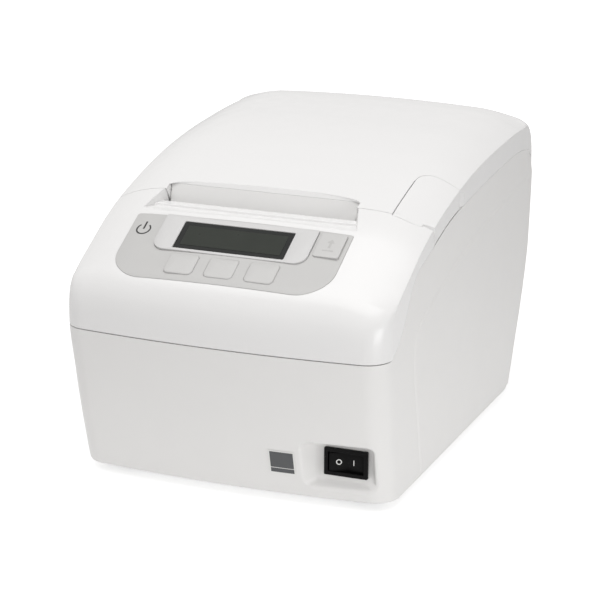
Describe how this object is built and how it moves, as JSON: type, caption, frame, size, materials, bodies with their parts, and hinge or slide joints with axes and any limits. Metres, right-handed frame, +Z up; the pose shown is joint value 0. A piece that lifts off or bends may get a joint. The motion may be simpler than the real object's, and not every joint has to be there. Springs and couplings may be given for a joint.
{
  "type": "receipt printer",
  "caption": "Desktop thermal receipt printer with a hinged paper cover, open lever, sloping display panel with push keys, automatic cutter and front power rocker.",
  "frame": {"origin": "middle of the footprint, on the plane the rubber feet stand on", "axes": "+Z up, -Y towards the user at the front, +X to the right as seen from the front"},
  "size_m": [0.1458, 0.212, 0.136],
  "materials": {
    "gloss_white": "polished",
    "satin_white": "fine texture",
    "panel_grey": "printed film",
    "key_grey": "fine texture",
    "silver_grey": "satin",
    "display_black": "glass front",
    "guide_grey": "fine texture",
    "black": "satin",
    "rocker_black": "satin",
    "dark_grey": "fine texture",
    "board": "solder mask",
    "steel": "machined",
    "zinc": "zinc plated sheet",
    "rubber": "matte",
    "gear_white": "moulded acetal",
    "ceramic": "glazed ceramic",
    "aluminium": "extruded",
    "paper": "uncoated paper",
    "card": "card",
    "label": "printed film"
  },
  "bodies": {
    "case": {"lower_case": "satin_white", "base_plate": "zinc", "foot_front_left": "rubber", "foot_front_right": "rubber", "foot_rear_left": "rubber", "foot_rear_right": "rubber", "front_cover": "gloss_white", "panel_overlay": "panel_grey", "lcd_bezel": "silver_grey", "lcd_module": "display_black", "panel_board": "board", "switch_housing": "black", "rating_label": "label", "main_board": "board", "socket_plate": "zinc", "power_socket": "black", "drawer_socket": "black", "serial_socket": "zinc", "usb_socket": "zinc", "network_socket": "zinc", "chassis": "zinc", "feed_motor": "steel", "cutter_frame": "zinc", "cutter_motor": "steel", "hinge_rod": "steel", "lever_pin": "steel", "release_pin": "steel", "paper_bucket": "dark_grey", "head_spring_left": "steel", "head_spring_right": "steel"},
    "lid": {"paper_cover": "gloss_white", "cover_frame": "dark_grey", "exit_guide": "guide_grey", "fixed_blade": "steel", "platen_bush_left": "black", "platen_bush_right": "black"},
    "platen": {"platen_shaft": "steel", "platen_rubber": "rubber", "platen_gear": "gear_white"},
    "idler": {"idler_gear": "gear_white"},
    "drive_pinion": {"motor_gear": "steel"},
    "lever": {"open_lever": "gloss_white"},
    "release": {"release_arm": "steel"},
    "head": {"print_head": "ceramic", "head_heatsink": "aluminium"},
    "rack_pinion": {"cutter_pinion": "steel"},
    "blade": {"cutter_blade": "steel"},
    "key_left": {"menu_key_left": "key_grey"},
    "key_middle": {"menu_key_middle": "key_grey"},
    "key_right": {"menu_key_right": "key_grey"},
    "key_feed": {"feed_key": "key_grey"},
    "rocker": {"switch_rocker": "rocker_black"},
    "roll": {"paper_roll": "paper", "roll_core": "card"}
  },
  "joints": [
    {"name": "lid_hinge", "type": "hinge", "parent": "case", "child": "lid", "pos_m": [0, 0.1, 0.1165], "axis": [-1, 0, 0], "range_deg": [0, 85]},
    {"name": "platen_spin", "type": "hinge", "parent": "lid", "child": "platen", "pos_m": [0, -0.0379, 0.093], "axis": [1, 0, 0], "continuous": true},
    {"name": "idler_spin", "type": "hinge", "parent": "case", "child": "idler", "pos_m": [-0.058, -0.03545, 0.07909], "axis": [1, 0, 0], "continuous": true},
    {"name": "motor_spin", "type": "hinge", "parent": "case", "child": "drive_pinion", "pos_m": [-0.058, -0.03959, 0.06771], "axis": [1, 0, 0], "continuous": true},
    {"name": "lever_pivot", "type": "hinge", "parent": "case", "child": "lever", "pos_m": [0.058, -0.0448, 0.1132], "axis": [1, 0, 0], "range_deg": [0, 22], "stiffness_Nm_per_rad": 0.05, "springref_deg": -17.19},
    {"name": "release_pivot", "type": "hinge", "parent": "case", "child": "release", "pos_m": [0.048, -0.028, 0.085], "axis": [1, 0, 0], "range_deg": [-8, 0]},
    {"name": "head_pivot", "type": "hinge", "parent": "case", "child": "head", "pos_m": [-0.0045, -0.0468, 0.0846], "axis": [1, 0, 0], "range_deg": [0, 1.4], "stiffness_Nm_per_rad": 2, "springref_deg": -11.46},
    {"name": "blade_slide", "type": "slide", "parent": "case", "child": "blade", "axis": [0, 1, 0], "range_m": [0, 0.008]},
    {"name": "cutter_pinion_spin", "type": "hinge", "parent": "case", "child": "rack_pinion", "pos_m": [-0.04527, -0.055, 0.102], "axis": [0, 0, 1], "range_deg": [0, 131.5]},
    {"name": "key_left_press", "type": "slide", "parent": "case", "child": "key_left", "axis": [0, 0.4679, -0.8838], "range_m": [0, 0.0008], "stiffness_N_per_m": 600, "springref_m": -0.0005},
    {"name": "key_middle_press", "type": "slide", "parent": "case", "child": "key_middle", "axis": [0, 0.4679, -0.8838], "range_m": [0, 0.0008], "stiffness_N_per_m": 600, "springref_m": -0.0005},
    {"name": "key_right_press", "type": "slide", "parent": "case", "child": "key_right", "axis": [0, 0.4679, -0.8838], "range_m": [0, 0.0008], "stiffness_N_per_m": 600, "springref_m": -0.0005},
    {"name": "feed_key_press", "type": "slide", "parent": "case", "child": "key_feed", "axis": [0, 0.4679, -0.8838], "range_m": [0, 0.0008], "stiffness_N_per_m": 600, "springref_m": -0.0005},
    {"name": "power_rocker_pivot", "type": "hinge", "parent": "case", "child": "rocker", "pos_m": [0.0523, -0.0881, 0.0207], "axis": [0, 0, 1], "range_deg": [-14, 0]},
    {"name": "roll_spin", "type": "hinge", "parent": "case", "child": "roll", "pos_m": [-0.0045, 0.038, 0.0578], "axis": [1, 0, 0], "continuous": true}
  ],
  "couplings": [
    {"joint": "idler_spin", "follows": "platen_spin", "ratio": -0.55556},
    {"joint": "motor_spin", "follows": "platen_spin", "ratio": 1.6667},
    {"joint": "release_pivot", "follows": "lever_pivot", "ratio": -0.36},
    {"joint": "cutter_pinion_spin", "follows": "blade_slide", "rad_per_m": 285.71}
  ]
}
